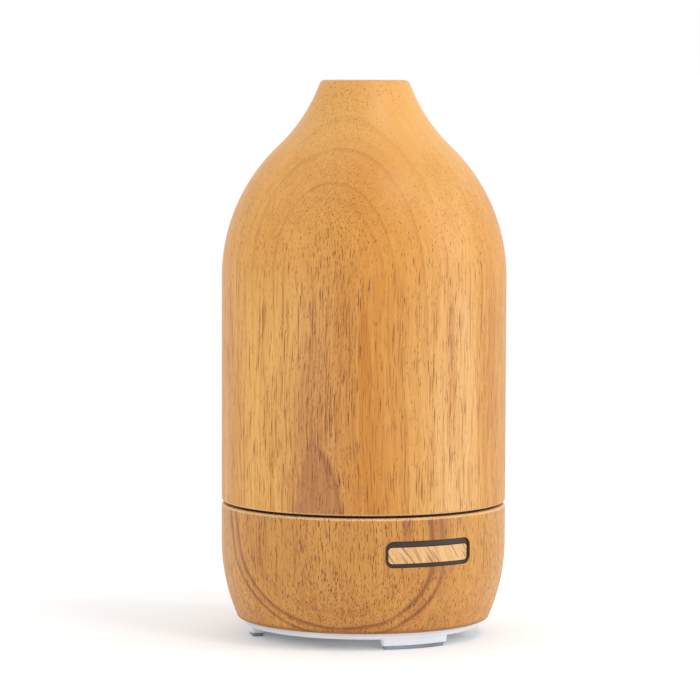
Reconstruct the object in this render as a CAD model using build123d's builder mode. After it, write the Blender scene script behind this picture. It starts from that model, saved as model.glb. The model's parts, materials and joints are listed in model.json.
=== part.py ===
from build123d import *

import os
from math import asin, cos, degrees, radians, sin

# Ultrasonic essential oil diffuser: a turned wooden cover and base round a plastic tank.
# Millimetres, +Z up, the button faces -Y. The origin is on the floor, under the centre.

# ---------------------------------------------------------------- driving dimensions
body_radius = 46.0
total_height = 179.5
wood_wall = 6.0
seam_height = 43.6  # underside of the cover, on the chassis flange
seam_gap = 0.8
shoulder_height = 116.0  # the cover is a plain cylinder up to here
shoulder_radius = 58.2
shoulder_sweep = 46.6  # degrees of arc before the outline turns hollow
neck_radius = 52.6
mouth_radius = 8.6

base_bottom = 5.5  # underside of the wooden base
base_curve_start = 31.0
base_curve_radius = 62.3
base_bore = 40.0
base_bore_low = 37.4
base_bore_step = 14.0
flange_radius = 41.5
flange_bottom = 41.2
seat_ring_radius = 44.0

plate_bottom = 3.45  # underside of the bottom cover
plate_radius = 38.4
foot_bottom = 1.2
foot_inner, foot_outer = 32.4, 37.4
foot_half_angle = 18.7
foot_angles = {"front": -90, "rear_right": 30, "rear_left": 150}
pad_inner, pad_outer = 33.1, 36.7
pad_half_angle = 17.2
pad_recess = 0.3

boss_circle = 31.2  # the screws that hold the base together
boss_angles = (-42, 65, 115, 222)
boss_radius = 3.2
boss_bottom = 7.5
boss_pilot_radius, boss_pilot_depth = 1.3, 13.0

tank_outer, tank_inner = 37.6, 35.6
tank_rim = 74.0
tank_floor_top, tank_floor_under = 38.0, 36.0
basin_radius, basin_floor = 14.0, 35.8  # the floor dips towards the transducer
mist_hole_radius = 7.6  # the hole above the transducer
seal_recess, recess_roof = 11.2, 34.5
clamp_recess, clamp_seat = 17.2, 31.5
flange_rib_radius, flange_rib_depth = 38.6, 3.0
duct_x = (-36.4, -27.0)
duct_half_width = 8.0
duct_top = 70.0
duct_wall = 1.4
fill_line_height = 66.0

transducer_circle = 14.2
transducer_screw_angles = (90, 210, 330)
clamp_bottom, clamp_radius, clamp_bore = 30.1, 17.0, 7.5
clamp_top = 32.4  # the seal sits on it
piezo_radius, piezo_bottom, piezo_top = 10.0, 33.0, 34.2
led_circle = 22.5
led_peg_angles = (30, 150, 270)
led_board_outer, led_board_inner = 26.5, 18.5
led_board_bottom, led_board_top = 32.4, 33.4
peg_radius, peg_pin_radius = 1.6, 0.9

spout_radius = 7.2
spout_top = 176.5
dome_radius = 36.4
dome_wall = 1.5

button_height = 31.35  # middle of the bezel
button_width, button_tall = 30.4, 8.45
key_height = 30.98  # the key sits a little low in its bezel
key_width, key_tall = 28.0, 5.1
bezel_face_radius, key_face_radius = 45.3, 45.5
slot_corner, key_corner = 2.6, 1.2
veneer_thickness = 0.9
button_half_angle = 24  # more than the button's width covers
bezel_back, key_back = 38.4, 37.0
button_spring_places = (-6.0, 6.0)
switch_board_front, switch_board_back = 32.6, 31.4  # distances in front of the axis
switch_screw_places = ((-9.2, 28.6), (9.2, 28.6))

jack_height = 24.0
jack_seat_outer, jack_seat_inner = 43.6, 40.0
jack_bore_floor = 35.0
jack_front = 44.8
jack_back = 31.0
jack_barrel_radius, jack_flange_radius, jack_socket_radius = 4.0, 6.2, 2.9
pin_root, pin_root_radius = 32.5, 1.3
pin_radius, pin_reach = 1.0, 8.8

fan_x = -17.0
fan_side, fan_depth, fan_bottom = 30.0, 10.0, 6.0
fan_hole_offset = 12.0
fan_throat = 14.0
column_radius, bearing_radius, shaft_radius = 2.4, 1.6, 0.75
column_bottom, column_top = fan_bottom + 1.2, fan_bottom + 6.8
magnet_outer, magnet_inner = 7.2, 6.3
blade_count = 7
blade_radius = 13.4
hub_radius, hub_bottom, hub_top = 8.2, fan_bottom + 1.7, fan_bottom + 9.6
board_bottom, board_top = 8.5, 10.1
board_radius = 33.8
connector_height = 6.0
board_posts = ((27.5, 8.0), (8.0, -27.0), (-20.0, 22.0))

clearance = 0.2


# ---------------------------------------------------------------- helpers
def polar(radius, angle):
    """The XY point at this radius and angle in degrees."""
    return radius * cos(radians(angle)), radius * sin(radians(angle))


def front(distance):
    """The XZ plane that stands this far in front of the axis; it extrudes outwards."""
    return Plane.XZ.offset(distance)


def rear(distance):
    """The XZ plane that stands this far behind the axis; it extrudes outwards."""
    return Plane((0, distance, 0), x_dir=(-1, 0, 0), z_dir=(0, 1, 0))


def bored_disc(outer, inner, bottom, top, mode=Mode.ADD):
    """A flat ring between two heights."""
    with BuildSketch(Plane.XY.offset(bottom)) as ring:
        Circle(outer)
        Circle(inner, mode=Mode.SUBTRACT)
    extrude(ring.sketch, amount=top - bottom, mode=mode)


def posts(places, radius, bottom, top, mode=Mode.ADD):
    """Round upright posts, or holes, between two heights."""
    with BuildSketch(Plane.XY.offset(bottom)) as circles:
        with Locations(*places):
            Circle(radius)
    extrude(circles.sketch, amount=top - bottom, mode=mode)


def block(low, high, mode=Mode.ADD):
    """A box between two corners."""
    middle = [(a + b) / 2 for a, b in zip(low, high)]
    with Locations(tuple(middle)):
        Box(*(b - a for a, b in zip(low, high)), mode=mode)


def ring_edges(part, radius, height):
    """The round edges of this radius at this height."""
    return part.edges().filter_by(GeomType.CIRCLE).filter_by(
        lambda e: abs(e.radius - radius) < 0.01 and abs(e.center().Z - height) < 0.01
    )


def sector(inner, outer, middle_angle, half_angle):
    """Part of a flat ring, drawn on the current sketch."""
    with BuildLine() as outline:
        start = middle_angle - half_angle
        outside = CenterArc((0, 0), outer, start, 2 * half_angle)
        inside = CenterArc((0, 0), inner, start, 2 * half_angle)
        Line(outside @ 0, inside @ 0)
        Line(outside @ 1, inside @ 1)
    make_face(outline.edges())


def bottle_wall(inset, bottom):
    """The cover's outline moved in by inset, from bottom to the mouth. Returns its two ends."""
    arc_centre = shoulder_height + (shoulder_radius + neck_radius) * sin(radians(shoulder_sweep))
    neck = neck_radius + inset
    neck_sweep = shoulder_sweep - degrees(asin((arc_centre - total_height) / neck))
    side = Line((body_radius - inset, bottom), (body_radius - inset, shoulder_height))
    shoulder = JernArc(side @ 1, side % 1, shoulder_radius - inset, shoulder_sweep)
    throat = JernArc(shoulder @ 1, shoulder % 1, neck, -neck_sweep)
    return side @ 0, throat @ 1


def dome_wall_line(inset, bottom):
    """The inner cover's outline moved in by inset, from bottom to the spout's end."""
    side = Line((dome_radius - inset, bottom), (dome_radius - inset, 84.0))
    shoulder = JernArc(side @ 1, side % 1, 24.0 - inset, 70)
    slope = PolarLine(shoulder @ 1, 7.3, direction=shoulder % 1)
    throat = JernArc(slope @ 1, slope % 1, 10.0 + inset, -70)
    spout = Line(throat @ 1, ((throat @ 1).X, spout_top))
    return side @ 0, spout @ 1


def closed_between(outer_ends, inner_ends):
    """Closes an outer and an inner outline into one face."""
    Line(outer_ends[0], inner_ends[0])
    Line(outer_ends[1], inner_ends[1])


def wires(ends, radius):
    """Round wires along lists of points, with every corner rounded."""
    for points in ends:
        with BuildLine() as path:
            if len(points) > 2:
                FilletPolyline(*points, radius=1.6)
            else:
                Line(*points)
        with BuildSketch(Plane(path.line @ 0, z_dir=path.line % 0)) as section:
            Circle(radius)
        sweep(section.sketch, path=path.line)


os.makedirs("parts", exist_ok=True)
boss_places = [polar(boss_circle, a) for a in boss_angles]

# ---------------------------------------------------------------- wooden cover
with BuildPart() as outer_cover:
    with BuildSketch(Plane.XZ):
        with BuildLine():
            closed_between(bottle_wall(0, seam_height), bottle_wall(wood_wall, seam_height))
        make_face()
    revolve(axis=Axis.Z)
    with Locations((0, 0, total_height)):
        Hole(mouth_radius, depth=wood_wall)
    fillet(outer_cover.edges().group_by(Axis.Z)[-1].sort_by(SortBy.LENGTH)[-1], 2.0)
    fillet(outer_cover.edges().group_by(Axis.Z)[-1].sort_by(SortBy.LENGTH)[0], 0.7)
    fillet(ring_edges(outer_cover, body_radius, seam_height), 0.9)
    chamfer(ring_edges(outer_cover, body_radius - wood_wall, seam_height), 0.8)
outer_cover.part.label = "outer_cover"
export_step(outer_cover.part, "parts/outer_cover.step")

# ---------------------------------------------------------------- inner cover with the mist spout
with BuildPart() as inner_cover:
    with BuildSketch(Plane.XZ):
        with BuildLine():
            closed_between(dome_wall_line(0, tank_rim), dome_wall_line(dome_wall, tank_rim))
        make_face()
    revolve(axis=Axis.Z)
    bored_disc(tank_outer, tank_inner - 1.4, tank_rim, tank_rim + 1.6)
    bored_disc(tank_inner - clearance, tank_inner - 1.4, tank_rim - 2.5, tank_rim)
    fillet(inner_cover.edges().group_by(Axis.Z)[-1].sort_by(SortBy.LENGTH)[-1], 0.5)
    fillet(ring_edges(inner_cover, tank_outer, tank_rim + 1.6), 0.6)
inner_cover.part.label = "inner_cover"
export_step(inner_cover.part, "parts/inner_cover.step")

# ---------------------------------------------------------------- wooden base ring
with BuildPart() as base_ring:
    base_top = seam_height - seam_gap
    curve_sweep = degrees(asin((base_curve_start - base_bottom) / base_curve_radius))
    with BuildSketch(Plane.XZ):
        with BuildLine():
            side = Line((body_radius, base_top), (body_radius, base_curve_start))
            curve = JernArc(side @ 1, side % 1, base_curve_radius, -curve_sweep)
            Polyline(
                curve @ 1,
                (base_bore_low, base_bottom),
                (base_bore_low, base_bore_step),
                (base_bore, base_bore_step),
                (base_bore, flange_bottom),
                (flange_radius + clearance, flange_bottom),
                (flange_radius + clearance, base_top),
                side @ 0,
            )
        make_face()
    revolve(axis=Axis.Z)
    fillet(ring_edges(base_ring, body_radius, base_top), 0.8)
    fillet(base_ring.edges().group_by(Axis.Z)[0].sort_by(SortBy.LENGTH)[-1], 1.5)
    with BuildSketch(front(30)):
        with Locations((0, button_height)):
            RectangleRounded(button_width, button_tall, slot_corner)
    extrude(amount=20, mode=Mode.SUBTRACT)
    with BuildSketch(rear(30)):
        with Locations((0, jack_height)):
            Circle(jack_barrel_radius + 0.1)
    extrude(amount=20, mode=Mode.SUBTRACT)
    with BuildSketch(rear(jack_seat_outer)):
        with Locations((0, jack_height)):
            Circle(jack_flange_radius + clearance)
    extrude(amount=10, mode=Mode.SUBTRACT)
    with BuildSketch(rear(30)):
        with Locations((0, jack_height)):
            Circle(6.9)
    extrude(amount=jack_seat_inner - 30, mode=Mode.SUBTRACT)
base_ring.part.label = "base_ring"
export_step(base_ring.part, "parts/base_ring.step")

# ---------------------------------------------------------------- water tank and chassis
with BuildPart() as tank_chassis:
    with BuildSketch(Plane.XZ):
        with BuildLine():
            Polyline(
                (tank_outer, tank_rim),
                (tank_inner, tank_rim),
                (tank_inner, tank_floor_top),
                (basin_radius, tank_floor_top),
                (mist_hole_radius + 1.0, basin_floor),
                (mist_hole_radius, basin_floor),
                (mist_hole_radius, recess_roof),
                (seal_recess, recess_roof),
                (seal_recess, clamp_seat),
                (clamp_recess, clamp_seat),
                (clamp_recess, tank_floor_under),
                (tank_outer, tank_floor_under),
                (tank_outer, flange_bottom),
                (flange_rib_radius, flange_bottom),
                (flange_rib_radius, flange_bottom - flange_rib_depth),
                (base_bore - clearance, flange_bottom - flange_rib_depth),
                (base_bore - clearance, flange_bottom),
                (flange_radius, flange_bottom),
                (flange_radius, seam_height),
                (tank_outer, seam_height),
                close=True,
            )
        make_face()
    revolve(axis=Axis.Z)
    fillet(ring_edges(tank_chassis, tank_inner, tank_floor_top), 3.0)
    fillet(ring_edges(tank_chassis, tank_outer, tank_rim), 0.6)
    fillet(ring_edges(tank_chassis, basin_radius, tank_floor_top), 2.0)
    bored_disc(tank_inner + 0.5, tank_inner - 0.4, fill_line_height, fill_line_height + 0.6)
    # air duct, a D-shaped chimney against the tank's left wall
    with BuildSketch(Plane.XY.offset(tank_floor_under)):
        with Locations(((duct_x[0] + duct_x[1]) / 2, 0)):
            RectangleRounded(duct_x[1] - duct_x[0], 2 * duct_half_width, 2.0)
        Circle(tank_outer - 0.6, mode=Mode.INTERSECT)
    extrude(amount=duct_top - tank_floor_under)
    with BuildSketch(Plane.XY.offset(tank_floor_under - 1)):
        with Locations(((duct_x[0] + duct_x[1]) / 2 - duct_wall / 2, 0)):
            Rectangle(duct_x[1] - duct_x[0] - duct_wall, 2 * (duct_half_width - duct_wall))
        Circle(tank_inner - 0.6, mode=Mode.INTERSECT)
    extrude(amount=duct_top - tank_floor_under + 2, mode=Mode.SUBTRACT)
    posts(boss_places, boss_radius, boss_bottom, tank_floor_under)
    posts(boss_places, boss_pilot_radius, boss_bottom, boss_bottom + boss_pilot_depth, mode=Mode.SUBTRACT)
    screw_places = [polar(transducer_circle, a) for a in transducer_screw_angles]
    posts(screw_places, 0.95, clamp_seat, 35.4, mode=Mode.SUBTRACT)
    peg_places = [polar(led_circle, a) for a in led_peg_angles]
    posts(peg_places, peg_radius, led_board_top, tank_floor_under)
    posts(peg_places, peg_pin_radius, led_board_bottom - 0.6, led_board_top)
    # two brackets that hang down behind the button and carry the switch board
    for x, z in switch_screw_places:
        block((x - 2.2, -switch_board_back, z - 2.2), (x + 2.2, -27.8, tank_floor_under))
    with BuildSketch(front(28.4)):
        with Locations(*switch_screw_places):
            Circle(0.95)
    extrude(amount=switch_board_back - 28.4, mode=Mode.SUBTRACT)
tank_chassis.part.label = "tank_chassis"
export_step(tank_chassis.part, "parts/tank_chassis.step")

# ---------------------------------------------------------------- dark ring that the cover sits on
with BuildPart() as seat_ring:
    bored_disc(seat_ring_radius, flange_radius, seam_height - seam_gap, seam_height)
seat_ring.part.label = "seat_ring"
export_step(seat_ring.part, "parts/seat_ring.step")

# ---------------------------------------------------------------- bottom cover with three feet
with BuildPart() as bottom_cover:
    with BuildSketch(Plane.XY.offset(plate_bottom)):
        Circle(plate_radius)
    extrude(amount=base_bottom - plate_bottom)
    fillet(ring_edges(bottom_cover, plate_radius, plate_bottom), 1.0)
    bored_disc(base_bore_low - clearance, 35.2, base_bottom, base_bottom + 3)
    for angle in foot_angles.values():
        with BuildSketch(Plane.XY.offset(plate_bottom)) as foot:
            sector(foot_inner, foot_outer, angle, foot_half_angle)
            fillet(foot.vertices(), 1.1)
        extrude(amount=foot_bottom - plate_bottom, taper=6)
    fillet(bottom_cover.edges().group_by(Axis.Z)[0], 0.35)
    for angle in foot_angles.values():
        with BuildSketch(Plane.XY.offset(foot_bottom)) as socket:
            sector(pad_inner - 0.1, pad_outer + 0.1, angle, pad_half_angle + 0.2)
            fillet(socket.vertices(), 0.9)
        extrude(amount=pad_recess, mode=Mode.SUBTRACT)
    posts(boss_places, 3.6, base_bottom, boss_bottom)
    posts(boss_places, 1.6, plate_bottom, boss_bottom, mode=Mode.SUBTRACT)
    posts(boss_places, 2.8, plate_bottom, plate_bottom + 2.3, mode=Mode.SUBTRACT)
    posts(board_posts, 2.4, base_bottom, board_bottom)
    posts(board_posts, 1.05, plate_bottom + 1.4, board_bottom, mode=Mode.SUBTRACT)
    fan_corners = [
        (fan_x + sx * fan_hole_offset, sy * fan_hole_offset) for sx in (-1, 1) for sy in (-1, 1)
    ]
    posts(fan_corners, 2.4, base_bottom, fan_bottom)
    fan_screw_places = [fan_corners[0], fan_corners[3]]
    posts(fan_screw_places, 1.25, plate_bottom + 0.8, fan_bottom, mode=Mode.SUBTRACT)
    # air intake: parallel slots inside a circle below the fan
    slot_pitch = 3.6
    with BuildSketch(Plane.XY.offset(plate_bottom)):
        for row in range(-3, 4):
            half_length = (13.0**2 - (row * slot_pitch) ** 2) ** 0.5
            with Locations((fan_x, row * slot_pitch)):
                SlotOverall(2 * half_length, 1.8)
    extrude(amount=base_bottom - plate_bottom, mode=Mode.SUBTRACT)
bottom_cover.part.label = "bottom_cover"
export_step(bottom_cover.part, "parts/bottom_cover.step")

for place, angle in foot_angles.items():
    with BuildPart() as foot_pad:
        with BuildSketch() as outline:
            sector(pad_inner, pad_outer, angle, pad_half_angle)
            fillet(outline.vertices(), 0.8)
        extrude(amount=foot_bottom + pad_recess)
        chamfer(foot_pad.faces().sort_by(Axis.Z)[0].edges(), 0.2)
    foot_pad.part.label = f"foot_pad_{place}"
    export_step(foot_pad.part, f"parts/foot_pad_{place}.step")


# ---------------------------------------------------------------- screws
def screw(place, seat, tip, shank, head, head_height):
    """One cross-head screw on the current part, standing on place, with its head beyond seat."""
    upward = 1 if tip > seat else -1
    posts([place], shank, seat, tip)
    with BuildSketch(Plane.XY.offset(seat)) as head_outline:
        with Locations(place):
            Circle(head)
    extrude(head_outline.sketch, amount=-upward * head_height, taper=12)
    with BuildSketch(Plane.XY.offset(seat - upward * head_height)) as cross:
        with Locations(place):
            Rectangle(head * 1.1, 0.35)
            Rectangle(0.35, head * 1.1)
    extrude(cross.sketch, amount=upward * head_height * 0.55, mode=Mode.SUBTRACT)


with BuildPart() as housing_screws:
    for place in boss_places:
        screw(place, plate_bottom + 2.3, boss_bottom + 10, 1.28, 2.5, 1.6)
housing_screws.part.label = "housing_screws"
export_step(housing_screws.part, "parts/housing_screws.step")

with BuildPart() as fan_screws:
    for place in fan_screw_places:
        screw(place, fan_bottom + fan_depth, plate_bottom + 1.1, 1.2, 2.3, 1.4)
fan_screws.part.label = "fan_screws"
export_step(fan_screws.part, "parts/fan_screws.step")

with BuildPart() as board_screws:
    for place in board_posts:
        screw(place, board_top, plate_bottom + 1.9, 1.0, 1.9, 1.3)
board_screws.part.label = "board_screws"
export_step(board_screws.part, "parts/board_screws.step")

with BuildPart() as transducer_screws:
    for place in screw_places:
        screw(place, clamp_bottom, 35.0, 0.9, 1.8, 1.2)
transducer_screws.part.label = "transducer_screws"
export_step(transducer_screws.part, "parts/transducer_screws.step")

# ---------------------------------------------------------------- ultrasonic transducer
with BuildPart() as piezo_disc:
    with BuildSketch(Plane.XY.offset(piezo_bottom)):
        Circle(piezo_radius)
    extrude(amount=piezo_top - piezo_bottom)
    with BuildSketch(Plane.XY.offset(piezo_bottom)):
        Circle(piezo_radius / 2)
    extrude(amount=-0.1)
    fillet(ring_edges(piezo_disc, piezo_radius, piezo_top), 0.2)
piezo_disc.part.label = "piezo_disc"
export_step(piezo_disc.part, "parts/piezo_disc.step")

seal_inner, seal_outer = mist_hole_radius + 0.1, seal_recess - 0.1
with BuildPart() as transducer_seal:
    with BuildSketch(Plane.XZ):
        with BuildLine():
            Polyline(
                (seal_inner, clamp_top),
                (seal_outer, clamp_top),
                (seal_outer, recess_roof),
                (seal_inner, recess_roof),
                (seal_inner, piezo_top),
                (piezo_radius + 0.05, piezo_top),
                (piezo_radius + 0.05, piezo_bottom),
                (seal_inner, piezo_bottom),
                close=True,
            )
        make_face()
    revolve(axis=Axis.Z)
transducer_seal.part.label = "transducer_seal"
export_step(transducer_seal.part, "parts/transducer_seal.step")

with BuildPart() as transducer_clamp:
    bored_disc(clamp_radius, clamp_bore, clamp_bottom, clamp_seat)
    bored_disc(seal_recess - clearance, clamp_bore + clearance, clamp_seat, clamp_top)
    posts(screw_places, 1.1, clamp_bottom, clamp_seat, mode=Mode.SUBTRACT)
    fillet(ring_edges(transducer_clamp, clamp_radius, clamp_bottom), 0.4)
transducer_clamp.part.label = "transducer_clamp"
export_step(transducer_clamp.part, "parts/transducer_clamp.step")

# ---------------------------------------------------------------- light ring
with BuildPart() as led_board:
    bored_disc(led_board_outer, led_board_inner, led_board_bottom, led_board_top)
    posts(peg_places, peg_pin_radius + 0.1, led_board_bottom, led_board_top, mode=Mode.SUBTRACT)
led_board.part.label = "led_board"
export_step(led_board.part, "parts/led_board.step")

led_body_height = 0.9
with BuildPart() as leds:
    with BuildSketch(Plane.XY.offset(led_board_top)):
        with PolarLocations(led_circle, 6):
            RectangleRounded(3.0, 2.8, 0.3)
    extrude(amount=led_body_height)
    with BuildSketch(Plane.XY.offset(led_board_top + led_body_height)):
        with PolarLocations(led_circle, 6):
            Circle(1.1)
    extrude(amount=0.3, taper=30)
leds.part.label = "leds"
export_step(leds.part, "parts/leds.step")

# ---------------------------------------------------------------- fan
fan_centre = (fan_x, 0)
with BuildPart() as fan_frame:
    with BuildSketch(Plane.XY.offset(fan_bottom)):
        with Locations(fan_centre):
            RectangleRounded(fan_side, fan_side, 2.5)
            Circle(fan_throat, mode=Mode.SUBTRACT)
        with Locations(*fan_corners):
            Circle(1.45, mode=Mode.SUBTRACT)
    extrude(amount=fan_depth)
    with BuildSketch(Plane.XY.offset(fan_bottom)):
        with Locations(fan_centre):
            Circle(7.5)
            for angle in (30, 150, 270):
                with Locations(polar(11, angle)):
                    Rectangle(8, 1.8, rotation=angle)
    extrude(amount=column_bottom - fan_bottom)
    posts([fan_centre], column_radius, column_bottom, column_top)
    posts([fan_centre], bearing_radius, column_bottom, column_top, mode=Mode.SUBTRACT)
fan_frame.part.label = "fan_frame"
export_step(fan_frame.part, "parts/fan_frame.step")

with BuildPart() as fan_bearing:
    posts([fan_centre], bearing_radius - 0.03, column_bottom, column_top)
    posts([fan_centre], shaft_radius + 0.04, column_bottom, column_top, mode=Mode.SUBTRACT)
fan_bearing.part.label = "fan_bearing"
export_step(fan_bearing.part, "parts/fan_bearing.step")

with BuildPart() as fan_stator:
    with BuildSketch(Plane.XY.offset(fan_bottom + 2.2)):
        with Locations(fan_centre):
            Circle(5.8)
            Circle(column_radius + 0.05, mode=Mode.SUBTRACT)
            with PolarLocations(4.9, 4):
                Rectangle(2.4, 1.4, mode=Mode.SUBTRACT)
    extrude(amount=4.0)
fan_stator.part.label = "fan_stator"
export_step(fan_stator.part, "parts/fan_stator.step")

with BuildPart() as fan_magnet:
    posts([fan_centre], magnet_outer, fan_bottom + 2.0, fan_bottom + 7.0)
    posts([fan_centre], magnet_inner, fan_bottom + 2.0, fan_bottom + 7.0, mode=Mode.SUBTRACT)
fan_magnet.part.label = "fan_magnet"
export_step(fan_magnet.part, "parts/fan_magnet.step")

with BuildPart() as fan_shaft:
    posts([fan_centre], shaft_radius, column_bottom + 0.3, hub_top - 1.0)
fan_shaft.part.label = "fan_shaft"
export_step(fan_shaft.part, "parts/fan_shaft.step")

with BuildPart() as fan_impeller:
    with Locations(Plane(origin=(fan_x, 0, fan_bottom + 5.6))):
        with PolarLocations(11.0, blade_count):
            Box(7.2, 0.9, 9.6, rotation=(42, 0, 0))
    with BuildSketch(Plane.XY.offset(fan_bottom + 2.0)):
        with Locations(fan_centre):
            Circle(blade_radius)
    extrude(amount=6.5, mode=Mode.INTERSECT)
    posts([fan_centre], hub_radius, hub_bottom, hub_top)
    fillet(fan_impeller.faces().sort_by(Axis.Z)[-1].edges(), 0.7)
    posts([fan_centre], magnet_outer, hub_bottom, hub_top - 1.0, mode=Mode.SUBTRACT)
fan_impeller.part.label = "fan_impeller"
export_step(fan_impeller.part, "parts/fan_impeller.step")

# ---------------------------------------------------------------- button
with BuildPart() as button_bezel:
    with BuildSketch(Plane.XY.offset(button_height - 8)):
        sector(bezel_back, bezel_face_radius, -90, button_half_angle)
    extrude(amount=16)
    with BuildSketch(front(36)):
        with Locations((0, button_height)):
            RectangleRounded(button_width - clearance, button_tall - clearance, slot_corner - clearance / 2)
    extrude(amount=12, mode=Mode.INTERSECT)
    with BuildSketch(Plane.XY.offset(button_height - 5.6)):
        sector(bezel_back, base_bore - clearance, -90, button_half_angle)
    extrude(amount=11.2)
    with BuildSketch(front(34)):
        with Locations((0, key_height)):
            RectangleRounded(key_width + 2 * clearance, key_tall + 2 * clearance, key_corner + clearance)
    extrude(amount=14, mode=Mode.SUBTRACT)
button_bezel.part.label = "button_bezel"
export_step(button_bezel.part, "parts/button_bezel.step")

with BuildPart() as button_carrier:
    with BuildSketch(Plane.XY.offset(key_height - 5)):
        sector(key_back, key_face_radius - veneer_thickness, -90, button_half_angle)
    extrude(amount=10)
    with BuildSketch(front(30)):
        with Locations((0, key_height)):
            RectangleRounded(key_width, key_tall, key_corner)
    extrude(amount=18, mode=Mode.INTERSECT)
    with BuildSketch(Plane.XY.offset(key_height - 3.6)):
        sector(key_back, bezel_back - 0.3, -90, 22)
    extrude(amount=7.2)
    # flat pads behind the key, for the switch's stem and the two springs
    block((-2.5, -37.6, key_height - 2.5), (2.5, -key_back, key_height + 2.5))
    for spring_x in button_spring_places:
        block((spring_x - 1.8, -37.4, key_height - 1.8), (spring_x + 1.8, -36.6, key_height + 1.8))
button_carrier.part.label = "button_carrier"
export_step(button_carrier.part, "parts/button_carrier.step")

with BuildPart() as button_face:
    with BuildSketch(Plane.XY.offset(key_height - 5)):
        sector(key_face_radius - veneer_thickness, key_face_radius, -90, button_half_angle)
    extrude(amount=10)
    with BuildSketch(front(30)):
        with Locations((0, key_height)):
            RectangleRounded(key_width, key_tall, key_corner)
    extrude(amount=18, mode=Mode.INTERSECT)
    fillet(button_face.faces().filter_by(GeomType.CYLINDER).sort_by(SortBy.AREA)[-1].edges(), 0.3)
button_face.part.label = "button_face"
export_step(button_face.part, "parts/button_face.step")

with BuildPart() as switch_board:
    block((-12, -switch_board_front, 26.0), (12, -switch_board_back, 35.4))
    with BuildSketch(front(31)):
        with Locations(*switch_screw_places):
            Circle(1.0)
    extrude(amount=3, mode=Mode.SUBTRACT)
switch_board.part.label = "switch_board"
export_step(switch_board.part, "parts/switch_board.step")

with BuildPart() as tact_switch:
    block((-3, -36.1, key_height - 3), (3, -switch_board_front, key_height + 3))
    fillet(tact_switch.edges().filter_by(Axis.Y), 0.4)
    with BuildSketch(front(34.6)):
        with Locations((0, key_height)):
            Circle(1.85)
    extrude(amount=3, mode=Mode.SUBTRACT)
tact_switch.part.label = "tact_switch"
export_step(tact_switch.part, "parts/tact_switch.step")

with BuildPart() as switch_stem:
    with BuildSketch(front(35.6)):
        with Locations((0, key_height)):
            Circle(1.7)
    extrude(amount=1.33)
switch_stem.part.label = "switch_stem"
export_step(switch_stem.part, "parts/switch_stem.step")

with BuildPart() as switch_screws:
    with BuildSketch(front(29.0)):
        with Locations(*switch_screw_places):
            Circle(0.9)
    extrude(amount=switch_board_front - 29.0)
    with BuildSketch(front(switch_board_front)):
        with Locations(*switch_screw_places):
            Circle(1.5)
    extrude(amount=0.9)
switch_screws.part.label = "switch_screws"
export_step(switch_screws.part, "parts/switch_screws.step")

with BuildPart() as button_springs:
    for spring_x in button_spring_places:
        with BuildLine() as coil:
            Helix(
                pitch=0.9,
                height=3.3,
                radius=1.25,
                center=(spring_x, -switch_board_front - 0.25, key_height),
                direction=(0, -1, 0),
            )
        with BuildSketch(Plane(coil.line @ 0, z_dir=coil.line % 0)):
            Circle(0.2)
        sweep(path=coil.line, is_frenet=True)
button_springs.part.label = "button_springs"
export_step(button_springs.part, "parts/button_springs.step")

# ---------------------------------------------------------------- DC inlet
with BuildPart() as dc_jack:
    with BuildSketch(rear(jack_back)):
        with Locations((0, jack_height)):
            Circle(jack_barrel_radius)
    extrude(amount=jack_seat_outer - jack_back)
    with BuildSketch(rear(jack_seat_outer)):
        with Locations((0, jack_height)):
            Circle(jack_flange_radius)
    extrude(amount=jack_front - jack_seat_outer)
    fillet(dc_jack.faces().sort_by(Axis.Y)[-1].edges(), 0.5)
    with BuildSketch(rear(jack_bore_floor)):
        with Locations((0, jack_height)):
            Circle(jack_socket_radius)
    extrude(amount=20, mode=Mode.SUBTRACT)
    for tab_x in (-2.0, 2.0):
        block((tab_x - 0.9, 28.0, jack_height - 0.25), (tab_x + 0.9, jack_back, jack_height + 0.25))
    with BuildSketch(rear(pin_root)):
        with Locations((0, jack_height)):
            Circle(pin_root_radius)
    extrude(amount=5, mode=Mode.SUBTRACT)
dc_jack.part.label = "dc_jack"
export_step(dc_jack.part, "parts/dc_jack.step")

with BuildPart() as dc_jack_pin:
    with BuildSketch(rear(pin_root)):
        with Locations((0, jack_height)):
            Circle(pin_root_radius)
    extrude(amount=jack_bore_floor - pin_root)
    with BuildSketch(rear(jack_bore_floor)):
        with Locations((0, jack_height)):
            Circle(pin_radius)
    extrude(amount=pin_reach)
    fillet(dc_jack_pin.faces().sort_by(Axis.Y)[-1].edges(), 0.4)
dc_jack_pin.part.label = "dc_jack_pin"
export_step(dc_jack_pin.part, "parts/dc_jack_pin.step")

with BuildPart() as dc_jack_nut:
    with BuildSketch(rear(jack_seat_inner - 2.0)):
        with Locations((0, jack_height)):
            RegularPolygon(5.5, 6, major_radius=False)
            Circle(jack_barrel_radius + 0.05, mode=Mode.SUBTRACT)
    extrude(amount=2.0)
dc_jack_nut.part.label = "dc_jack_nut"
export_step(dc_jack_nut.part, "parts/dc_jack_nut.step")

# ---------------------------------------------------------------- main board and its parts
with BuildPart() as main_board:
    with BuildSketch(Plane.XY.offset(board_bottom)):
        Circle(board_radius)
        with Locations((-21.2, 0)):
            Rectangle(40, 31.6, mode=Mode.SUBTRACT)
        with Locations(*boss_places):
            Circle(3.9, mode=Mode.SUBTRACT)
        with Locations(*board_posts):
            Circle(1.15, mode=Mode.SUBTRACT)
    extrude(amount=board_top - board_bottom)
main_board.part.label = "main_board"
export_step(main_board.part, "parts/main_board.step")

with BuildPart() as inductor:
    inductor_place = (14, 16)
    posts([inductor_place], 5.0, board_top, board_top + 1.0)
    posts([inductor_place], 4.4, board_top + 1.0, board_top + 7.5)
    posts([inductor_place], 5.0, board_top + 7.5, board_top + 9.0)
inductor.part.label = "inductor"
export_step(inductor.part, "parts/inductor.step")

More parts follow.
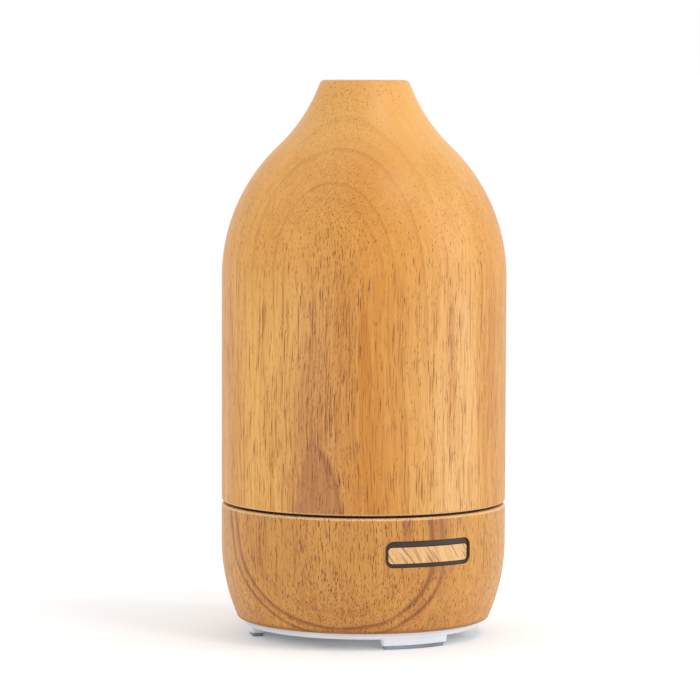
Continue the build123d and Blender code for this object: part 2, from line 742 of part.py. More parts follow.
with BuildPart() as capacitors:
    capacitor_places = [(25.0, -2.0), (24.0, -9.6)]
    posts(capacitor_places, 3.2, board_top, board_top + 8.0)
    fillet(capacitors.edges().group_by(Axis.Z)[-1], 0.5)
capacitors.part.label = "capacitors"
export_step(capacitors.part, "parts/capacitors.step")

with BuildPart() as heat_sink:
    block((2, -3, board_top), (18, -1.5, 24))
    for fin_x in (2, 5.75, 9.5, 13.25, 17):
        block((fin_x, -1.5, board_top), (fin_x + 1, 5, 24))
heat_sink.part.label = "heat_sink"
export_step(heat_sink.part, "parts/heat_sink.step")

with BuildPart() as driver_transistor:
    block((5, -7.4, 13), (15, -3, 22))
    block((5, -4.3, 22), (15, -3, 27))
    for leg_x in (7.5, 10, 12.5):
        block((leg_x - 0.4, -5.4, board_top), (leg_x + 0.4, -4.8, 13))
    with BuildSketch(front(2)):
        with Locations((10, 24.6)):
            Circle(1.5)
    extrude(amount=4, mode=Mode.SUBTRACT)
driver_transistor.part.label = "driver_transistor"
export_step(driver_transistor.part, "parts/driver_transistor.step")

with BuildPart() as control_chip:
    block((11, -17.5, board_top + 0.2), (17, -12.5, board_top + 1.7))
    for leg_x in (11.8, 13.25, 14.7, 16.15):
        block((leg_x - 0.2, -18.4, board_top), (leg_x + 0.2, -11.6, board_top + 0.5))
control_chip.part.label = "control_chip"
export_step(control_chip.part, "parts/control_chip.step")

with BuildPart() as connectors:
    connector_places = {"fan": (-6.0, -21.0), "power": (0.0, 24.0), "transducer": (24.0, 15.0)}
    for x, y in connector_places.values():
        block((x - 3.6, y - 2.4, board_top), (x + 3.6, y + 2.4, board_top + connector_height))
connectors.part.label = "connectors"
export_step(connectors.part, "parts/connectors.step")

# ---------------------------------------------------------------- leads, two wires each
wire_radius = 0.55
plug_top = board_top + connector_height
bridge_height = 27.6  # the transducer's wires cross over the board at this height

with BuildPart() as fan_leads:
    wires([[(x, -fan_side / 2, 12.5), (x, -18.6, 12.5)] for x in (-7, -5)], wire_radius)
fan_leads.part.label = "fan_leads"
export_step(fan_leads.part, "parts/fan_leads.step")

with BuildPart() as dc_leads:
    wires(
        [[(x, 28, jack_height), (x, 24, jack_height), (x, 24, plug_top)] for x in (-2, 2)],
        wire_radius,
    )
dc_leads.part.label = "dc_leads"
export_step(dc_leads.part, "parts/dc_leads.step")

with BuildPart() as transducer_leads:
    wires(
        [
            [
                (x, 4, piezo_bottom - 0.1),
                (x, 4, bridge_height),
                (24, 15 - x, bridge_height),
                (24, 15 - x, plug_top),
            ]
            for x in (-1.6, 1.6)
        ],
        wire_radius,
    )
transducer_leads.part.label = "transducer_leads"
export_step(transducer_leads.part, "parts/transducer_leads.step")

with BuildPart() as switch_leads:
    wires(
        [[(x, -switch_board_back, 33.6), (x, -27.5, 33.6), (x, -27.5, board_top)] for x in (-1, 1)],
        wire_radius,
    )
switch_leads.part.label = "switch_leads"
export_step(switch_leads.part, "parts/switch_leads.step")
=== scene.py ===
"""Looks for the essential oil diffuser: solid-wood shading, plastics, studio and camera."""
import json
import math

import bpy
from mathutils import Matrix, Vector


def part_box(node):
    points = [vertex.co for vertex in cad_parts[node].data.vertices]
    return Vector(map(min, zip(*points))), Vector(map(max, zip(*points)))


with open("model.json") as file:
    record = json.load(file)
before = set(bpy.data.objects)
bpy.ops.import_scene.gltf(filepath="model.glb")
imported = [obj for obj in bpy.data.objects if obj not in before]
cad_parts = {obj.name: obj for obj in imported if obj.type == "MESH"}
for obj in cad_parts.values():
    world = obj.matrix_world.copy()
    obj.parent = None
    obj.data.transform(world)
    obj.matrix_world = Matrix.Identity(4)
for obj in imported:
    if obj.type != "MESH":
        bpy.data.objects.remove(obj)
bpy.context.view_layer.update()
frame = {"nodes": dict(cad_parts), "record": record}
NODES = frame["nodes"]
MM = 0.001

cover_low, cover_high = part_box("outer_cover")
base_low, base_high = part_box("base_ring")
top_z = cover_high.z

# The camera stands in front and to the left; the wood's figure is laid out from this side.
VIEW_ANGLE = math.radians(-27.8)
TOWARDS_CAMERA = Vector((math.sin(VIEW_ANGLE), -math.cos(VIEW_ANGLE), 0))
CAMERA_RIGHT = Vector((math.cos(VIEW_ANGLE), math.sin(VIEW_ANGLE), 0))


# ---------------------------------------------------------------- node helpers
class Graph:
    """A short way to build one material's node tree."""

    def __init__(self, name):
        self.material = bpy.data.materials.new(name)
        self.material.use_nodes = True
        self.tree = self.material.node_tree
        self.tree.nodes.clear()
        self.output = self.tree.nodes.new("ShaderNodeOutputMaterial")
        self.shader = self.tree.nodes.new("ShaderNodeBsdfPrincipled")
        self.link(self.shader.outputs[0], self.output.inputs["Surface"])

    def link(self, source, target):
        self.tree.links.new(source, target)

    def set(self, socket, value):
        """Gives a socket a number, a tuple or another node's output."""
        if isinstance(value, bpy.types.NodeSocket):
            self.link(value, socket)
        elif isinstance(value, (tuple, list)) and len(value) == 3 and socket.type == "RGBA":
            socket.default_value = (*value, 1.0)
        else:
            socket.default_value = value

    def math(self, operation, a, b=0.0, c=0.0):
        node = self.tree.nodes.new("ShaderNodeMath")
        node.operation = operation
        for socket, value in zip(node.inputs, (a, b, c)):
            self.set(socket, value)
        return node.outputs[0]

    def vector(self, operation, a, b=(0.0, 0.0, 0.0)):
        node = self.tree.nodes.new("ShaderNodeVectorMath")
        node.operation = operation
        self.set(node.inputs[0], a)
        if operation == "SCALE":
            self.set(node.inputs["Scale"], b)
        else:
            self.set(node.inputs[1], b)
        return node.outputs["Value"] if operation in ("DOT_PRODUCT", "LENGTH") else node.outputs[0]

    def millimetres(self):
        """The place on the piece, in millimetres."""
        return self.vector("SCALE", self.tree.nodes.new("ShaderNodeTexCoord").outputs["Object"], 1 / MM)

    def split(self, value):
        node = self.tree.nodes.new("ShaderNodeSeparateXYZ")
        self.set(node.inputs[0], value)
        return node.outputs

    def join(self, x, y, z):
        node = self.tree.nodes.new("ShaderNodeCombineXYZ")
        for socket, value in zip(node.inputs, (x, y, z)):
            self.set(socket, value)
        return node.outputs[0]

    def noise(self, vector, scale=1.0, detail=3.0, roughness=0.5):
        node = self.tree.nodes.new("ShaderNodeTexNoise")
        self.set(node.inputs["Vector"], vector)
        node.inputs["Scale"].default_value = scale
        node.inputs["Detail"].default_value = detail
        node.inputs["Roughness"].default_value = roughness
        return node.outputs[0]

    def cells(self, vector, scale=1.0):
        """Scattered cells: the distance from each one's middle, and a random colour for each."""
        node = self.tree.nodes.new("ShaderNodeTexVoronoi")
        self.set(node.inputs["Vector"], vector)
        node.inputs["Scale"].default_value = scale
        return node.outputs["Distance"], node.outputs["Color"]

    def curve(self, value, low, high, out_low=0.0, out_high=1.0, smooth=True):
        """Maps low..high to out_low..out_high, held at both ends."""
        node = self.tree.nodes.new("ShaderNodeMapRange")
        node.interpolation_type = "SMOOTHSTEP" if smooth else "LINEAR"
        for socket, item in zip(node.inputs, (value, low, high, out_low, out_high)):
            self.set(socket, item)
        return node.outputs[0]

    def mix(self, factor, a, b):
        node = self.tree.nodes.new("ShaderNodeMix")
        node.data_type = "RGBA"
        self.set(node.inputs[0], factor)
        self.set(node.inputs[6], a)
        self.set(node.inputs[7], b)
        return node.outputs[2]

    def bump(self, height, strength, distance):
        node = self.tree.nodes.new("ShaderNodeBump")
        node.inputs["Strength"].default_value = strength
        node.inputs["Distance"].default_value = distance
        self.set(node.inputs["Height"], height)
        self.link(node.outputs[0], self.shader.inputs["Normal"])

    def shade(self, **values):
        names = {
            "color": "Base Color",
            "roughness": "Roughness",
            "metallic": "Metallic",
            "specular": "Specular IOR Level",
            "subsurface": "Subsurface Weight",
            "transmission": "Transmission Weight",
        }
        for key, value in values.items():
            self.set(self.shader.inputs[names[key]], value)
        return self.material


def rgb(r, g, b):
    """A colour as seen on a screen, 0 to 255, as the linear numbers that shaders use."""
    linear = []
    for channel in (r, g, b):
        c = channel / 255
        linear.append(c / 12.92 if c <= 0.04045 else ((c + 0.055) / 1.055) ** 2.4)
    return tuple(linear)


# ---------------------------------------------------------------- wood
# Lengths are in millimetres. A texture's stretch is its scale along the grain against across it.
WANDER_ACROSS, WANDER_ALONG = 0.035, 0.016  # how fast the grain wanders
RING_WANDER = 0.3  # the growth rings wander less than the fibres
FIBRE_SCALE, FIBRE_STRETCH = 0.8, 0.03
FINE_SCALE, FINE_STRETCH = 3.6, 0.06
BROAD_SCALE, BROAD_STRETCH = 0.09, 0.10
HAIRLINE_SCALE, HAIRLINE_STRETCH = 2.4, 0.025
GRAIN_SCALE = 5.0
FIBRE_SHIFT = 7.0  # how far a fibre carries its colour sideways
BOARD_HALF = 50.0
LATE_WOOD_END = 0.4  # a growth ring's dark line stops within this
BAND_UNEVENNESS = 14.0  # how far the faint bands between the rings stray from even spacing
ZONE_CORE = 2.0  # the pores crowd fully this close to their zone's middle
CROWD_BY_BROAD = 0.9
THINNER_PORES = (120.0, 150.0, 0.0, 0.1)  # heights between which the pores thin out, and how much
PALER_PORES = (115.0, 150.0)
PORE_CORE = 0.4  # share of a pore's size that is fully dark
PORE_SHIFTS = (11.3, 5.1, 2.7)
WOOD_DEPTH, WOOD_RELIEF, FINE_RELIEF = 0.1 * MM, 0.4, 0.2
FRONT = (0.0, 12.0)  # depths over which a mark fades in, so that it stays on the camera's side
# texture, its values where the tone starts and ends, the amounts there, and the figure's colour; the
# tones by height are painted shade on the dome and painted light on the neck
TONES = (
    ("broad", 0.38, 0.66, 0.0, 0.45, "deep"),
    ("fibre", 0.5, 0.68, 0.0, 0.48, "deep"),
    ("fibre", 0.32, 0.5, 0.3, 0.0, "pale"),
    ("fine", 0.5, 0.68, 0.0, 0.26, "dark"),
    ("hairline", 0.62, 0.68, 0.0, 0.6, "dark"),
    # painted shade on the dome, against the key light falling strongly there
    ("height", 100.0, 130.0, 0.0, 0.55, "dome_painted_shade"),
    # painted light on the neck
    ("height", 148.0, 166.0, 0.0, 0.65, "neck_painted_light"),
)


def wood(name, figure):
    """Solid wood: growth rings about an upright axis, fibres and long pores along it.

    Across is measured to the right of the camera and depth towards it, in millimetres.
    """
    g = Graph(name)
    here = g.millimetres()
    across = g.vector("DOT_PRODUCT", here, tuple(CAMERA_RIGHT))
    depth = g.vector("DOT_PRODUCT", here, tuple(TOWARDS_CAMERA))
    height = g.split(here)[2]
    slow = g.join(
        g.math("MULTIPLY", across, WANDER_ACROSS),
        g.math("MULTIPLY", depth, WANDER_ACROSS),
        g.math("MULTIPLY", height, WANDER_ALONG),
    )
    wander_x = g.math("SUBTRACT", g.noise(g.vector("ADD", slow, figure["seed"]), 1.0, 2.0), 0.5)
    wander_y = g.math("SUBTRACT", g.noise(g.vector("ADD", slow, figure["seed2"]), 1.0, 2.0), 0.5)
    x = g.math("MULTIPLY_ADD", wander_x, figure["wander"], across)
    y = g.math("MULTIPLY_ADD", wander_y, figure["wander"], depth)

    # distance from the growth rings' centre, which leans with height
    centre_x, lean, centre_y = figure["centre"]
    calm_x = g.math("MULTIPLY_ADD", wander_x, figure["wander"] * RING_WANDER, across)
    calm_y = g.math("MULTIPLY_ADD", wander_y, figure["wander"] * RING_WANDER, depth)
    off_x = g.math("SUBTRACT", calm_x, g.math("MULTIPLY_ADD", height, lean, centre_x))
    off_y = g.math("SUBTRACT", calm_y, centre_y)
    squares = g.math("ADD", g.math("MULTIPLY", off_x, off_x), g.math("MULTIPLY", off_y, off_y))
    ring = g.math("SQRT", squares)

    def along_grain(stretch, *noise):
        return g.noise(g.join(x, y, g.math("MULTIPLY", height, stretch)), *noise)

    fibre = along_grain(FIBRE_STRETCH, FIBRE_SCALE, 3.0, 0.55)
    fine = along_grain(FINE_STRETCH, FINE_SCALE, 2.0, 0.6)
    broad = along_grain(BROAD_STRETCH, BROAD_SCALE, 3.0, 0.5)
    hairline = along_grain(HAIRLINE_STRETCH, HAIRLINE_SCALE, 1.0, 0.5)
    hairline = g.math("ADD", hairline, g.math("MULTIPLY", g.curve(fibre, 0.35, 0.65), 0.06))
    grain = g.noise(here, GRAIN_SCALE, 2.0, 0.7)
    textures = {"broad": broad, "fibre": fibre, "fine": fine, "hairline": hairline, "height": height}

    # colour by place across the board, shifted a little by the fibres; on the cover the paler stops
    # towards 30 mm across are paler wood with a painted highlight where the side light falls
    place = g.math("MULTIPLY_ADD", g.math("SUBTRACT", fibre, 0.5), FIBRE_SHIFT, x)
    ramp = g.tree.nodes.new("ShaderNodeValToRGB")
    elements = ramp.color_ramp.elements
    stops = figure["board"]
    while len(elements) < len(stops):
        elements.new(0.5)
    for element, (at, shade) in zip(elements, stops):
        element.position = (at + BOARD_HALF) / (2 * BOARD_HALF)
        element.color = (*shade, 1.0)
    g.set(ramp.inputs[0], g.curve(place, -BOARD_HALF, BOARD_HALF, smooth=False))
    colour = ramp.outputs[0]
    # the tones by height paint shade on the dome and light on the neck
    for texture, *values, tint in TONES:
        colour = g.mix(g.curve(textures[texture], *values), colour, figure[tint])

    # growth rings: soft shading up to a thin late-wood line, then a clean start
    fading = g.curve(height, *figure["ring_fade"])
    fading = g.math("MULTIPLY", g.curve(broad, 0.3, 0.55, 0.5, 1.0), fading)
    for at, width, strength in figure["rings"]:
        rise = g.curve(ring, at - width, at, 0.0, strength)
        fall = g.curve(ring, at, at + LATE_WOOD_END, 1.0, 0.0)
        line = g.math("MULTIPLY", g.math("MULTIPLY", g.math("POWER", rise, 2.2), fall), fading)
        colour = g.mix(line, colour, figure["late"])
    stray = g.noise(g.join(ring, 3.7, 0.0), 0.12, 1.0)
    uneven = g.math("MULTIPLY_ADD", stray, BAND_UNEVENNESS, ring)
    phase = g.math("FRACT", g.math("DIVIDE", uneven, figure["spacing"]))
    band = g.math("MULTIPLY", g.curve(phase, 0.2, 0.95), g.curve(phase, 0.95, 1.0, 1.0, 0.0))
    colour = g.mix(g.math("MULTIPLY", band, figure["band"]), colour, figure["late"])

    for amount, tint in figure["marks"](g, x, height, depth, fibre):
        colour = g.mix(amount, colour, tint)
    # pale rims are painted highlights on the rounded edges at the seam; the dark rim is painted shade
    # along the base's bottom edge
    for at, reach, strength, tint in figure["painted_rims"]:
        from_painted_rim = g.math("ABSOLUTE", g.math("SUBTRACT", height, at))
        colour = g.mix(g.curve(from_painted_rim, reach * 0.5, reach, strength, 0.0), colour, tint)

    # pores: dark dashes along the grain, dots where the surface cuts across it, thickest in one zone
    zone_x, zone_width, zone_gain = figure["zone"]
    from_zone = g.math("ABSOLUTE", g.math("SUBTRACT", x, zone_x))
    crowd = g.curve(from_zone, ZONE_CORE, zone_width, zone_gain, 0.0)
    crowd = g.math("MULTIPLY_ADD", g.math("SUBTRACT", broad, 0.5), CROWD_BY_BROAD, crowd)
    crowd = g.math("SUBTRACT", crowd, g.curve(height, *THINNER_PORES))
    shift_x, shift_y, shift_z = PORE_SHIFTS
    pores = None
    for number, (scale, stretch, size, chance, strength) in enumerate(figure["pores"]):
        place = g.vector("MULTIPLY", g.join(x, y, height), (scale, scale, scale * stretch))
        distance, pick_colour = g.cells(g.vector("ADD", place, (shift_x * number, shift_y, shift_z)))
        pick = g.math("SUBTRACT", g.split(pick_colour)[0], crowd)
        present = g.curve(pick, chance - 0.02, chance, strength, 0.0)
        dash = g.curve(distance, size * PORE_CORE, size, 1.0, 0.0)
        layer = g.math("MULTIPLY", dash, present)
        pores = layer if pores is None else g.math("MAXIMUM", pores, layer)
    tone = g.curve(height, *PALER_PORES, figure["pore_strength"], figure["pore_strength"] * 0.8)
    colour = g.mix(g.math("MULTIPLY", pores, tone), colour, figure["pore"])
    colour = g.mix(g.curve(grain, 0.35, 0.65, 0.0, 0.10), colour, figure["dark"])

    g.bump(g.math("SUBTRACT", g.math("MULTIPLY", fine, FINE_RELIEF), pores), WOOD_RELIEF, WOOD_DEPTH)
    roughness = g.math("MULTIPLY_ADD", fine, 0.14, figure["roughness"])
    return g.shade(color=colour, roughness=roughness, specular=0.36)


def tongue(g, x, height, depth, apex, spread, soft):
    """Dark heartwood that widens downwards from its apex: its inside, and its edge on the right."""
    apex_x, apex_z = apex
    drop = g.math("SUBTRACT", apex_z, height)
    half_width = g.math("MULTIPLY", g.math("SQRT", g.math("MAXIMUM", drop, 0.0)), spread)
    side = g.math("SUBTRACT", x, apex_x)
    off = g.math("SUBTRACT", g.math("ABSOLUTE", side), half_width)
    shown = g.math("MULTIPLY", g.curve(depth, *FRONT), g.curve(drop, -12.0, 6.0))
    inside = g.math("MULTIPLY", g.curve(off, -soft, soft, 1.0, 0.0), shown)
    edge = g.math("MULTIPLY", g.curve(g.math("ABSOLUTE", off), 0.0, soft, 1.0, 0.0), shown)
    return inside, g.math("MULTIPLY", edge, g.curve(side, -3.0, 1.0, 0.3, 1.0))


def stroke(g, x, height, depth, place, core, reach, heights):
    """A streak along the grain at one place, solid over its core and gone at its reach."""
    off = g.math("ABSOLUTE", g.math("SUBTRACT", x, place))
    streak = g.math("MULTIPLY", g.curve(off, core, reach, 1.0, 0.0), g.curve(height, *heights))
    return g.math("MULTIPLY", streak, g.curve(depth, *FRONT))


def cover_marks(g, x, height, depth, fibre):
    """Above the seam: a brown tongue, and a taller and paler one around it."""
    ragged = g.math("MULTIPLY_ADD", g.math("SUBTRACT", fibre, 0.5), 6.0, x)
    inside, edge = tongue(g, ragged, height, depth, apex=(-14.6, 66.0), spread=1.5, soft=1.6)
    lengthwise = g.curve(fibre, 0.35, 0.65, 0.75, 1.0)
    yield g.math("MULTIPLY", g.math("MULTIPLY", inside, lengthwise), 0.58), rgb(162, 106, 62)
    yield g.math("MULTIPLY", g.math("MULTIPLY", edge, lengthwise), 0.75), rgb(132, 72, 34)
    inside, _ = tongue(g, ragged, height, depth, apex=(-15.5, 100.0), spread=0.95, soft=3.0)
    yield g.math("MULTIPLY", inside, 0.3), rgb(168, 108, 70)


def base_marks(g, x, height, depth, fibre):
    """Above the button: a broad smudge and a thin stroke beside it."""
    ragged = g.math("MULTIPLY_ADD", g.math("SUBTRACT", fibre, 0.5), 9.0, x)
    smudge = stroke(g, ragged, height, depth, 24.0, core=0.3, reach=5.0, heights=(8.0, 42.0, 0.25, 1.0))
    yield g.math("MULTIPLY", smudge, 0.5), rgb(142, 88, 52)
    line = stroke(g, ragged, height, depth, 13.5, core=0.2, reach=2.2, heights=(30.0, 42.0))
    yield g.math("MULTIPLY", line, 0.6), rgb(132, 74, 40)


# centre: the growth rings' centre across the board, its lean with height, and its depth
# rings: distance from that centre, width of the shading, strength
# ring_fade: heights where the rings start and stop fading, and how strong they are there
# board: colours by place across the board; the cover's paler stops on the right hold a painted highlight
# pores: cells per millimetre, stretch, size in a cell, share of cells, strength
# zone: where the pores crowd, its half width, how much they crowd
# painted_rims: height, reach, strength and colour of painted light along a turned edge; pale rims are
# painted highlights on the rounded edges at the seam, the dark rim is painted shade along the base's
# bottom edge
COVER = {
    "seed": (3.1, 7.7, 1.3),
    "seed2": (13.4, 2.2, 8.6),
    "wander": 6.0,
    "centre": (-5.9, -0.097, 73.4),
    "rings": ((36.3, 0.9, 0.5), (39.3, 1.1, 0.6), (48.2, 2.4, 0.55), (57.0, 4.0, 0.35), (72.0, 5.0, 0.3)),
    "ring_fade": (60.0, 118.0, 0.35, 1.0),
    "spacing": 6.5,
    "band": 0.05,
    "board": (
        (-46, rgb(222, 158, 72)),
        (-34, rgb(233, 176, 92)),
        (-20, rgb(222, 166, 96)),
        (-9, rgb(210, 150, 82)),
        (1, rgb(197, 128, 44)),
        (10, rgb(208, 146, 66)),
        # paler wood with a painted highlight from the side light, strongest at 30 mm across
        (18, rgb(222, 170, 98)),
        (30, rgb(226, 180, 116)),
        (41, rgb(204, 144, 62)),
    ),
    # painted shade for the dome, and painted light for the neck
    "dome_painted_shade": rgb(216, 151, 64),
    "neck_painted_light": rgb(226, 169, 92),
    "deep": rgb(194, 126, 48),
    "pale": rgb(232, 180, 106),
    "dark": rgb(150, 88, 34),
    "late": rgb(150, 90, 38),
    "pores": ((2.0, 0.045, 0.33, 0.19, 1.0), (2.9, 0.13, 0.36, 0.2, 0.75), (1.7, 0.015, 0.24, 0.2, 0.95)),
    "zone": (-11.0, 17.0, 0.5),
    "pore": rgb(100, 48, 14),
    "pore_strength": 0.95,
    "roughness": 0.34,
    "marks": cover_marks,
    # a pale painted highlight along the cover's rounded bottom edge
    "painted_rims": ((cover_low.z / MM, 0.7, 0.5, rgb(238, 198, 146)),),
}
BASE = dict(
    COVER,
    seed=(31.1, 17.7, 21.3),
    seed2=(43.4, 12.2, 28.6),
    wander=5.0,
    centre=(3.7, 0.13, -29.6),
    rings=((70.0, 0.7, 0.9), (71.3, 1.3, 0.55), (71.3, 0.6, 0.85), (66.5, 1.5, 0.3), (73.6, 1.2, 0.35)),
    ring_fade=(0.0, 40.0, 1.0, 1.0),
    spacing=5.5,
    band=0.06,
    board=(
        (-46, rgb(212, 152, 76)),
        (-34, rgb(206, 146, 70)),
        (-20, rgb(208, 150, 74)),
        (0, rgb(203, 143, 66)),
        (20, rgb(205, 146, 72)),
        (40, rgb(206, 148, 70)),
    ),
    deep=rgb(190, 124, 58),
    pale=rgb(222, 166, 96),
    dark=rgb(150, 90, 40),
    late=rgb(124, 66, 28),
    pore=rgb(92, 44, 16),
    pores=((1.9, 0.11, 0.34, 0.42, 1.0), (2.9, 0.17, 0.36, 0.4, 0.8), (1.5, 0.04, 0.2, 0.3, 1.0)),
    zone=(-4.0, 36.0, 0.3),
    marks=base_marks,
    # a pale painted highlight along the base's rounded top edge, and painted shade along its bottom edge
    painted_rims=(
        (base_high.z / MM, 0.9, 0.7, rgb(238, 198, 146)),
        (base_low.z / MM, 1.6, 0.5, rgb(128, 76, 36)),
    ),
)

NODES["outer_cover"].data.materials[0] = wood("cover_wood", COVER)
NODES["base_ring"].data.materials[0] = wood("base_wood", BASE)


VENEER_SLANT, VEIN_SLANT = 0.42, 0.72  # sideways lean of the grain and of its dark veins
VENEER_DEPTH = 0.06 * MM


def veneer(name):
    """The button's thin wood face: pale, with slanting darker grain."""
    g = Graph(name)
    here = g.millimetres()
    x, _, z = g.split(here)
    slant = g.math("MULTIPLY_ADD", z, VENEER_SLANT, x)
    vein_slant = g.math("MULTIPLY_ADD", z, VEIN_SLANT, x)
    streak = g.noise(g.join(slant, 0.0, g.math("MULTIPLY", z, 0.08)), 0.55, 3.0, 0.6)
    fine = g.noise(g.join(slant, 0.0, g.math("MULTIPLY", z, 0.15)), 3.0, 3.0, 0.6)
    vein = g.noise(g.join(vein_slant, 4.0, g.math("MULTIPLY", z, 0.1)), 1.1, 1.0, 0.5)
    colour = g.mix(g.curve(streak, 0.42, 0.66, 0.0, 0.55), rgb(220, 176, 120), rgb(190, 128, 70))
    colour = g.mix(g.curve(fine, 0.5, 0.72, 0.0, 0.6), colour, rgb(172, 110, 56))
    colour = g.mix(g.curve(vein, 0.6, 0.66, 0.0, 0.7), colour, rgb(138, 82, 40))
    colour = g.mix(g.curve(g.noise(here, 6.0, 2.0), 0.4, 0.7, 0.0, 0.2), colour, rgb(232, 190, 130))
    g.bump(fine, 0.3, VENEER_DEPTH)
    return g.shade(color=colour, roughness=0.4, specular=0.5)


NODES["button_face"].data.materials[0] = veneer("button_veneer")


# ---------------------------------------------------------------- plastics, rubber, metal, boards
MOULD_DEPTH, DRAWN_DEPTH, TRACK_DEPTH = 0.03 * MM, 0.04 * MM, 0.03 * MM


def moulded(name, colour, shade, roughness, grain=1.6, **extra):
    """Moulded plastic or rubber: a fine spark-eroded surface with a slow change of shade."""
    g = Graph(name)
    here = g.millimetres()
    slow = g.noise(here, 0.06, 2.0)
    fine = g.noise(here, grain, 3.0, 0.6)
    mixed = g.mix(g.curve(slow, 0.3, 0.7), colour, shade)
    mixed = g.mix(g.curve(fine, 0.4, 0.7, 0.0, 0.25), mixed, shade)
    g.bump(fine, 0.25, MOULD_DEPTH)
    return g.shade(color=mixed, roughness=g.math("MULTIPLY_ADD", fine, 0.12, roughness), **extra)


LINES_PER_MM = (8.0, 8.0, 0.4)  # close together across, drawn out upwards


def metal(name, colour, roughness, coil=0.0):
    """Drawn or turned metal: fine upright lines, or windings when coil is set."""
    g = Graph(name)
    here = g.millimetres()
    lines = g.noise(g.vector("MULTIPLY", here, LINES_PER_MM), 1.0, 3.0, 0.6)
    mixed = g.mix(g.curve(lines, 0.35, 0.7, 0.0, 0.5), colour, tuple(c * 0.6 for c in colour))
    height = lines
    if coil:
        turns = g.math("SINE", g.math("MULTIPLY", g.split(here)[2], coil))
        # painted shade in the grooves between the windings
        mixed = g.mix(g.curve(turns, -1.0, 0.0, 0.7, 0.0), mixed, tuple(c * 0.2 for c in colour))
        height = turns
    g.bump(height, 0.3, DRAWN_DEPTH)
    return g.shade(color=mixed, roughness=roughness, metallic=1.0)


def circuit_board(name, colour, copper):
    """Printed board: solder mask over tracks and pads."""
    g = Graph(name)
    here = g.millimetres()
    _, block = g.cells(here, 0.22)
    x, _, z = g.split(g.vector("ADD", here, g.vector("SCALE", block, 3.0)))
    track = g.math("ABSOLUTE", g.math("SINE", g.math("MULTIPLY", g.math("ADD", x, z), 2.2)))
    pads, _ = g.cells(here, 0.4)
    bright = tuple(min(1.0, c * 2.2) for c in colour)
    mixed = g.mix(g.curve(track, 0.86, 0.92, 0.0, 0.5), colour, bright)
    mixed = g.mix(g.curve(pads, 0.12, 0.16, 1.0, 0.0), mixed, copper)
    g.bump(g.math("ADD", track, g.curve(pads, 0.1, 0.2, 1.0, 0.0)), 0.3, TRACK_DEPTH)
    return g.shade(color=mixed, roughness=0.32, specular=0.5)


# the record's material slots
FINISHES = {
    "pp_white": moulded("tank_white", rgb(232, 232, 228), rgb(222, 223, 220), 0.34, subsurface=0.05),
    "pp_frosted": moulded(
        "frosted_cover", rgb(240, 241, 240), rgb(228, 231, 232), 0.42, subsurface=0.08, transmission=0.25
    ),
    "plate_white": moulded("bottom_white", rgb(232, 236, 240), rgb(220, 226, 232), 0.38),
    "dark_plastic": moulded("button_frame_dark", rgb(50, 36, 30), rgb(36, 26, 22), 0.42),
    "grey_rubber": moulded("foot_rubber", rgb(150, 156, 168), rgb(124, 128, 140), 0.62, grain=2.4),
    "dark_rubber": moulded("seat_rubber", rgb(34, 26, 20), rgb(22, 16, 12), 0.7),
    "silicone": moulded("seal_silicone", rgb(222, 220, 214), rgb(206, 204, 198), 0.5),
    "black_plastic": moulded("black_plastic", rgb(34, 34, 35), rgb(24, 24, 25), 0.42),
    "steel": metal("screw_steel", (0.55, 0.55, 0.56), 0.3),
    "brass_nickel": metal("nickel_plate", (0.72, 0.70, 0.64), 0.22),
    "bearing_bronze": metal("bearing_bronze", (0.62, 0.42, 0.2), 0.35),
    "copper_winding": metal("copper_winding", (0.72, 0.34, 0.16), 0.32, coil=9.0),
    "aluminium": metal("sink_aluminium", (0.78, 0.78, 0.80), 0.38),
    "board_green": circuit_board("board_green", rgb(24, 92, 50), rgb(196, 190, 170)),
    "board_white": circuit_board("board_white", rgb(214, 214, 208), rgb(190, 186, 172)),
    "led_lens": moulded("led_lens", rgb(240, 232, 190), rgb(232, 222, 170), 0.18, transmission=0.3),
    "piezo_ceramic": moulded("piezo_ceramic", rgb(206, 202, 186), rgb(190, 186, 168), 0.3),
    "ferrite": moulded("ferrite", rgb(52, 52, 54), rgb(38, 38, 40), 0.6, grain=4.0),
    "wire_red": moulded("wire_red", rgb(176, 40, 34), rgb(150, 30, 26), 0.4),
}
WOODEN = ("outer_cover", "base_ring", "button_face")
for row in frame["record"]["subparts"]:
    if row["node"] not in WOODEN:
        NODES[row["node"]].data.materials[0] = FINISHES[row["material_slot"]]

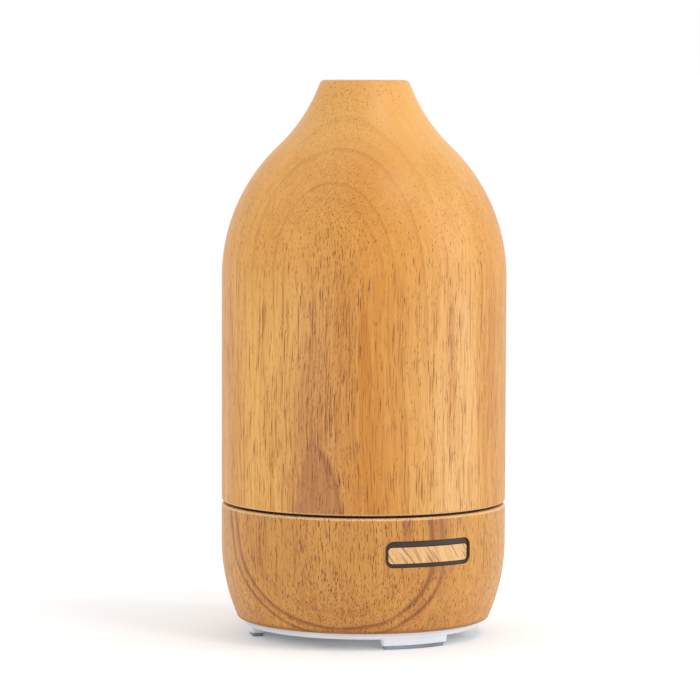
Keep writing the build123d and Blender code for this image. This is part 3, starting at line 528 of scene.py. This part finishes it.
# ---------------------------------------------------------------- studio
FLOOR_HALF = 60.0
corners = [(x * FLOOR_HALF, y * FLOOR_HALF, 0) for x, y in ((-1, -1), (1, -1), (1, 1), (-1, 1))]
floor_mesh = bpy.data.meshes.new("floor")
floor_mesh.from_pydata(corners, [], [(0, 1, 2, 3)])
floor = bpy.data.objects.new("floor", floor_mesh)
bpy.context.scene.collection.objects.link(floor)
floor_graph = Graph("studio_floor")
floor_graph.shade(color=(0.9, 0.9, 0.9), roughness=0.9, specular=0.1)
floor_graph.shader.inputs["Emission Color"].default_value = (1, 1, 1, 1)
floor_graph.shader.inputs["Emission Strength"].default_value = 0.1
floor_mesh.materials.append(floor_graph.material)


def studio_place(right, towards, up):
    """A place in the studio, in metres as the camera sees it."""
    return CAMERA_RIGHT * right + TOWARDS_CAMERA * towards + Vector((0, 0, up))


def area_light(name, place, size, power):
    """A rectangular lamp that faces the middle of the object."""
    light = bpy.data.lights.new(name, "AREA")
    light.shape = "RECTANGLE"
    light.size, light.size_y = size
    light.energy = power
    lamp = bpy.data.objects.new(name, light)
    lamp.location = place
    middle = Vector((0, 0, top_z / 2))
    lamp.rotation_euler = (middle - place).to_track_quat("-Z", "Y").to_euler()
    bpy.context.scene.collection.objects.link(lamp)


area_light("key", studio_place(0.5, 0.5, 1.15), (0.3, 0.3), 2.7)
area_light("side", studio_place(1.1, 0.25, 0.35), (0.16, 0.9), 3.2)
world = bpy.data.worlds.new("studio")
world.use_nodes = True
background = world.node_tree.nodes["Background"]
background.inputs["Color"].default_value = (1, 1, 1, 1)
background.inputs["Strength"].default_value = 1.0
bpy.context.scene.world = world
bpy.context.scene.view_settings.view_transform = "Standard"

# ---------------------------------------------------------------- camera
CAMERA_LENS, SENSOR_WIDTH = 190.1, 36.0
CAMERA_DISTANCE = 1193.2 * MM
CAMERA_HEIGHT = 182.98 * MM
CAMERA_PITCH = 0.0759
CAMERA_ROLL = 0.0035
CAMERA_SIDE = -4.494 * MM
camera_data = bpy.data.cameras.new("camera")
camera_data.lens = CAMERA_LENS
camera_data.sensor_width = SENSOR_WIDTH
camera_data.clip_start = 0.05
camera = bpy.data.objects.new("camera", camera_data)
camera.location = studio_place(CAMERA_SIDE, CAMERA_DISTANCE, CAMERA_HEIGHT)
look = studio_place(0, -math.cos(CAMERA_PITCH), -math.sin(CAMERA_PITCH))
level = look.to_track_quat("-Z", "Y").to_matrix()
camera.rotation_euler = (level @ Matrix.Rotation(CAMERA_ROLL, 3, "Z")).to_euler()
bpy.context.scene.collection.objects.link(camera)
bpy.context.scene.camera = camera
